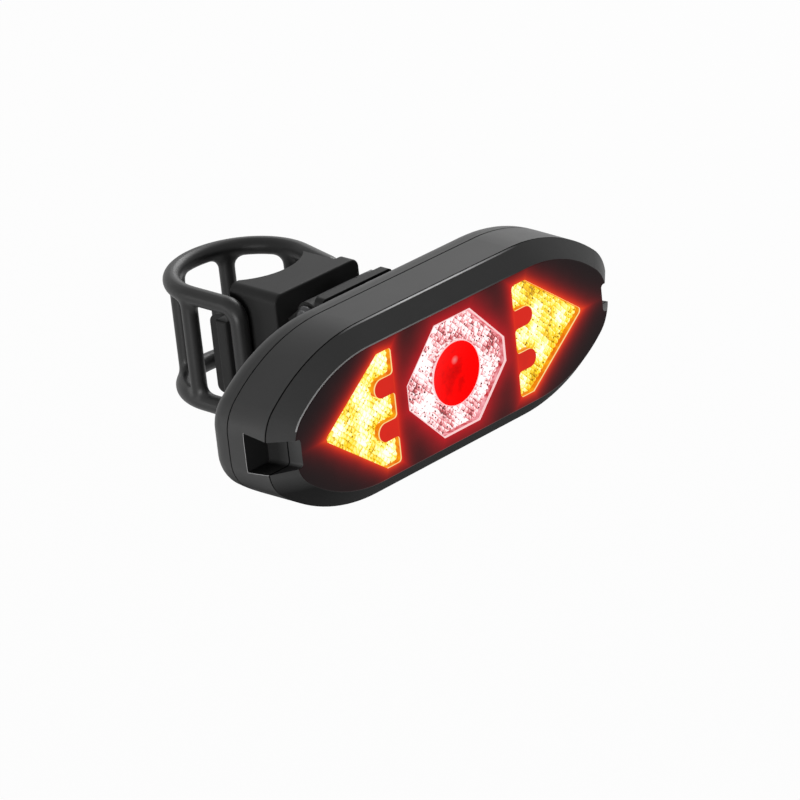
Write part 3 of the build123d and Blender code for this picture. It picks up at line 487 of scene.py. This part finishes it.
def discFinish():
    # a red dome, darker in blotches about its middle, with a pale speckled side, a painted highlight above
    # its middle and a painted highlight along the side's front edge
    look = discLook
    values = {"Specular IOR Level": look["shine"], "Roughness": look["roughness"]}
    finish = Finish("redLens", {**values, "Emission Strength": 1.0})
    x, depth, z = finish.axes()
    radius = (x * x + z * z) ** 0.5
    middle = (1.0 - radius * look["middleGain"]).unit()
    blotch = (finish.noise(look["blotch"], 3.0) - 0.5) * look["blotchShare"]
    dim = (middle * look["middleShare"] + blotch - look["dimFrom"]).unit() * look["dimMost"]
    color = finish.mix(dim, opaque(look["bright"]), opaque(look["dim"]))
    # painted highlight: a pale spot above the dome's middle
    spotX, spotZ, spotRadius = look["spot"]
    offset = ((x - spotX) * (x - spotX) + (z - spotZ) * (z - spotZ)) ** 0.5
    spot = (1.0 - offset / spotRadius).unit() * look["highlightMost"]
    color = finish.mix(spot, color, opaque(look["highlightColor"]))
    speck = (finish.noise(look["speck"]) * look["speckGain"] - look["speckFrom"]).unit()
    wall = finish.mix(speck, opaque(look["sideDeep"]), opaque(look["side"]))
    wall = finish.mix((look["rimDepth"] - depth).above(0.0), wall, opaque(look["paleRimHighlight"]))
    color = finish.mix((radius - look["radius"]).above(0.0), color, wall)
    finish.feed("Emission Color", color)
    finish.feed("Base Color", finish.mix(look["unlit"], color, grey(0.0)))
    return finish.material


# everything else: darkest and lightest colour, roughness, metal

plainTones = {
    "sealRubber": ((0.020, 0.020, 0.020), (0.040, 0.040, 0.040), 0.60, 0.0),
    "reflectorWhite": ((0.70, 0.70, 0.68), (0.84, 0.84, 0.82), 0.35, 0.0),
    "boardGreen": ((0.010, 0.060, 0.022), (0.020, 0.110, 0.045), 0.40, 0.0),
    "diodeAmber": ((0.80, 0.42, 0.05), (0.95, 0.62, 0.12), 0.25, 0.0),
    "diodeWhite": ((0.85, 0.75, 0.45), (0.95, 0.90, 0.70), 0.25, 0.0),
    "diodeRed": ((0.65, 0.05, 0.04), (0.85, 0.10, 0.08), 0.25, 0.0),
    "chipBlack": ((0.012, 0.012, 0.013), (0.028, 0.028, 0.030), 0.45, 0.0),
    "cellFoil": ((0.45, 0.46, 0.47), (0.62, 0.63, 0.64), 0.32, 1.0),
    "foamTape": ((0.72, 0.72, 0.68), (0.84, 0.84, 0.80), 0.80, 0.0),
    "leadRed": ((0.35, 0.012, 0.012), (0.50, 0.025, 0.020), 0.45, 0.0),
    "zincSteel": ((0.42, 0.42, 0.43), (0.60, 0.60, 0.61), 0.30, 1.0),
    "blackSteel": ((0.030, 0.030, 0.032), (0.070, 0.070, 0.072), 0.34, 0.7),
}
plainGrain = {
    "cloud": 2.5, "cloudShare": 0.6, "fine": 0.25, "fineShare": 0.4, "roughness": 0.16, "depth": 0.004,
}


def plainFinish(name):
    low, high, roughness, metal = plainTones[name]
    look = plainGrain
    finish = Finish(name, {"Metallic": metal})
    cloud = finish.noise(look["cloud"], 3.0)
    fine = finish.noise(look["fine"])
    shade = (cloud * look["cloudShare"] + fine * look["fineShare"]).unit()
    finish.feed("Base Color", finish.mix(shade, opaque(low), opaque(high)))
    finish.feed("Roughness", fine * look["roughness"] + (roughness - look["roughness"] / 2))
    finish.bump(fine, look["depth"])
    return finish.material


finishes = {name: plainFinish(name) for name in plainTones}
finishes["housing"] = mouldedFinish("charcoalHousing", moulded["housing"], True)
finishes["bracket"] = mouldedFinish("blackBracket", moulded["bracket"])
finishes["rubber"] = mouldedFinish("strapRubber", moulded["rubber"])
finishes["flap"] = mouldedFinish("flapRubber", moulded["flap"])
finishes["cover"] = coverFinish()
finishes["amberLens"] = lensFinish("amber")
finishes["roseLens"] = lensFinish("rose")
finishes["redLens"] = discFinish()

nodeFinishes = {
    "lens_cover": "cover", "cover_gasket": "sealRubber", "middle_housing": "housing",
    "housing_gasket": "sealRubber", "rear_shell": "housing", "housing_screws": "zincSteel",
    "arrow_lens_left": "amberLens", "arrow_lens_right": "amberLens", "hexagon_lens": "roseLens",
    "disc_lens": "redLens", "reflector_tray": "reflectorWhite", "led_board": "boardGreen",
    "arrow_leds": "diodeAmber", "ring_leds": "diodeWhite", "center_led": "diodeRed",
    "control_chips": "chipBlack", "battery": "cellFoil", "battery_tape": "foamTape",
    "battery_leads": "leadRed", "buzzer": "chipBlack", "charging_socket": "zincSteel",
    "socket_flap": "flap", "power_button": "flap", "button_switch": "chipBlack",
    "switch_plunger": "chipBlack", "lamp_shoe": "bracket", "shoe_screws": "zincSteel",
    "cradle": "bracket", "hinge_bolt": "blackSteel", "hinge_nut": "blackSteel",
    "saddle_block": "bracket", "saddle_pad": "rubber", "ladder_strap": "rubber",
}
for nodeName, finishName in nodeFinishes.items():
    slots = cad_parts[nodeName].data.materials
    slots.clear()
    slots.append(finishes[finishName])
print("finishes on the CAD nodes:", len(nodeFinishes))


# mesh helpers

mergeReach = 0.002  # millimetres
smoothAngle = 32.0  # degrees


def deselectAll():
    if bpy.context.object and bpy.context.object.mode != "OBJECT":
        bpy.ops.object.mode_set(mode="OBJECT")
    bpy.ops.object.select_all(action="DESELECT")


def pick(piece):
    deselectAll()
    piece.select_set(True)
    bpy.context.view_layer.objects.active = piece


def settle(piece):
    pick(piece)
    bpy.ops.object.transform_apply(location=True, rotation=True, scale=True)


def applyModifier(piece, kind, settings):
    pick(piece)
    modifier = piece.modifiers.new(kind.lower(), kind)
    for key, value in settings.items():
        setattr(modifier, key, value)
    bpy.ops.object.modifier_apply(modifier=modifier.name)


def copyOfNode(nodeName, name):
    # the node's loose triangles are merged in the copy
    piece = bpy.data.objects.new(name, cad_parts[nodeName].data.copy())
    bpy.context.scene.collection.objects.link(piece)
    pick(piece)
    bpy.ops.object.mode_set(mode="EDIT")
    bpy.ops.mesh.select_all(action="SELECT")
    bpy.ops.mesh.remove_doubles(threshold=mergeReach * mm)
    bpy.ops.object.mode_set(mode="OBJECT")
    return piece


def dress(piece, finishName, body, nodeName):
    piece.data.materials.clear()
    piece.data.materials.append(finishes[finishName])
    pick(piece)
    bpy.ops.object.shade_smooth_by_angle(angle=math.radians(smoothAngle))
    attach(piece, body)
    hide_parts(nodeName)
    deselectAll()


# lenses with a relief of small pyramids

def pyramidSlab(half, centerX):
    # a plate whose front is a field of pyramids on a turned lattice, to cut a lens from
    pitch = relief["pitch"]
    cells = 2 * math.ceil(half / pitch)
    deselectAll()
    bpy.ops.mesh.primitive_grid_add(x_subdivisions=cells, y_subdivisions=cells, size=1.0)
    slab = bpy.context.object
    slab.scale = (cells * pitch * mm, cells * pitch * mm, 1.0)
    settle(slab)
    bpy.ops.object.mode_set(mode="EDIT")
    bpy.ops.mesh.select_all(action="SELECT")
    bpy.ops.mesh.poke(offset=relief["depth"] * mm)
    bpy.ops.mesh.select_all(action="SELECT")
    bpy.ops.mesh.extrude_region_move(TRANSFORM_OT_translate={"value": (0, 0, -relief["backing"] * mm)})
    bpy.ops.mesh.select_all(action="SELECT")
    bpy.ops.mesh.normals_make_consistent(inside=False)
    bpy.ops.object.mode_set(mode="OBJECT")
    slab.rotation_euler = (0, 0, math.radians(relief["turn"]))
    settle(slab)
    slab.rotation_euler = (math.radians(90), 0, 0)
    slab.location = (centerX * mm, (relief["frontY"] + relief["depth"]) * mm, lampPlace["middleZ"] * mm)
    settle(slab)
    return slab


def prismLens(nodeName, name, kind, centerX):
    lens = copyOfNode(nodeName, name)
    slab = pyramidSlab(lensLook[kind]["slabHalf"], centerX)
    applyModifier(lens, "BOOLEAN", {"operation": "INTERSECT", "object": slab, "solver": "EXACT"})
    bpy.data.objects.remove(slab)
    dress(lens, kind + "Lens", "lamp", nodeName)
    pick(lens)
    bpy.ops.object.shade_flat()
    print(name, len(lens.data.polygons))


prismLens("arrow_lens_right", "arrowPrismRight", "amber", relief["arrowX"])
prismLens("arrow_lens_left", "arrowPrismLeft", "amber", -relief["arrowX"])
prismLens("hexagon_lens", "hexagonPrism", "rose", 0.0)
print("lenses made")


# rubber ladder strap, its inner corners rounded by a swell and a shrink

strapLook = {"swell": 1.3, "voxel": 0.42, "smooth": {"factor": 0.5, "iterations": 3}}


def makeStrap():
    strap = copyOfNode("ladder_strap", "strapLadder")
    remesh = {"mode": "VOXEL", "voxel_size": strapLook["voxel"] * mm}
    swell = strapLook["swell"] * mm
    applyModifier(strap, "REMESH", remesh)
    applyModifier(strap, "DISPLACE", {"strength": swell, "mid_level": 0.0})
    applyModifier(strap, "REMESH", remesh)
    applyModifier(strap, "SMOOTH", strapLook["smooth"])
    applyModifier(strap, "DISPLACE", {"strength": -swell, "mid_level": 0.0})
    applyModifier(strap, "SMOOTH", strapLook["smooth"])
    dress(strap, "rubber", "bracket", "ladder_strap")
    print("strap", len(strap.data.polygons))


makeStrap()


# camera: angles in degrees, distance and aim in millimetres, the rest in pixels of the photo

cameraPlace = {
    "azimuth": -45.19, "elevation": 23.08, "roll": 5.70, "distance": 903.3,
    "aim": (0.0, lampPlace["frontY"], lampPlace["middleZ"]),
    "focal": 4246.6, "aimRight": 57.2, "aimUp": 26.8, "frame": 800.0,
    "sensor": 36.0, "clipEnd": 20.0,  # millimetres, metres
}


def makeCamera():
    place = cameraPlace
    azimuth, elevation, roll = [math.radians(place[key]) for key in ("azimuth", "elevation", "roll")]
    forward = Vector((-math.sin(azimuth) * math.cos(elevation), math.cos(azimuth) * math.cos(elevation),
                      -math.sin(elevation)))
    level = Vector((math.cos(azimuth), math.sin(azimuth), 0.0))
    rise = level.cross(forward)
    right = level * math.cos(roll) - rise * math.sin(roll)
    up = level * math.sin(roll) + rise * math.cos(roll)
    position = Vector(place["aim"]) - forward * place["distance"]
    look = forward - right * (place["aimRight"] / place["focal"]) - up * (place["aimUp"] / place["focal"])
    look.normalize()
    right = (right - look * right.dot(look)).normalized()
    up = right.cross(look)
    turn = Matrix((right, up, -look)).transposed()
    data = bpy.data.cameras.new("camera")
    data.sensor_width = place["sensor"]
    data.lens = place["focal"] / place["frame"] * place["sensor"]
    data.clip_end = place["clipEnd"]
    camera = bpy.data.objects.new("camera", data)
    camera.matrix_world = Matrix.Translation(position * mm) @ turn.to_4x4()
    bpy.context.scene.collection.objects.link(camera)
    bpy.context.scene.camera = camera


# lights, floor and world, in metres and watts

lightAim = (0.0, -0.045, 0.0)
lights = {
    "keyBehind": {"place": (0.62, 0.18, 0.50), "size": (0.40, 0.40), "power": 4.8},
    "fillLeft": {"place": (-0.86, -0.28, -0.12), "size": (0.50, 0.50), "power": 16.0},
    "stripLeft": {"place": (-0.66, 0.40, -0.10), "size": (0.30, 0.40), "power": 2.0},
    "stripRight": {"place": (0.60, 0.52, 0.36), "size": (0.30, 0.60), "power": 0.35},
}


def makeLights():
    for name, light in lights.items():
        data = bpy.data.lights.new(name, "AREA")
        data.shape = "RECTANGLE"
        data.size, data.size_y = light["size"]
        data.energy = light["power"]
        lamp = bpy.data.objects.new(name, data)
        lamp.location = light["place"]
        aim = Vector(lightAim) - Vector(light["place"])
        lamp.rotation_euler = aim.to_track_quat("-Z", "Y").to_euler()
        bpy.context.scene.collection.objects.link(lamp)


stageLook = {
    "floorZ": -0.09, "size": 14.0, "tone": 0.40, "roughness": 0.9, "shine": 0.1,
    "white": 0.97,  # how much of the floor is plain white where it is seen, its shadow is in the rest
    "world": 0.18,  # the world's strength as light
}


def makeStage():
    look = stageLook
    deselectAll()
    bpy.ops.mesh.primitive_plane_add(size=look["size"], location=(0, 0, look["floorZ"]))
    floor = bpy.context.object
    floor.name = "floor"
    settle(floor)
    values = {"Roughness": look["roughness"], "Specular IOR Level": look["shine"]}
    finish = Finish("paleFloor", {**values, "Base Color": grey(look["tone"])})
    white = finish.node("ShaderNodeEmission", {}, {"Color": grey(1.0), "Strength": 1.0})
    finish.blend(finish.seenRays() * look["white"], Signal(finish, finish.shader.outputs[0]), white)
    floor.data.materials.append(finish.material)


def makeWorld():
    world = bpy.data.worlds.new("studio")
    bpy.context.scene.world = world
    finish = Finish(world, {"Color": grey(1.0)}, "Background")
    finish.feed("Strength", finish.seenRays() * (1.0 - stageLook["world"]) + stageLook["world"])


makeCamera()
makeLights()
makeStage()
makeWorld()
bpy.context.scene.view_settings.view_transform = "Standard"
print("camera, lights and floor made")
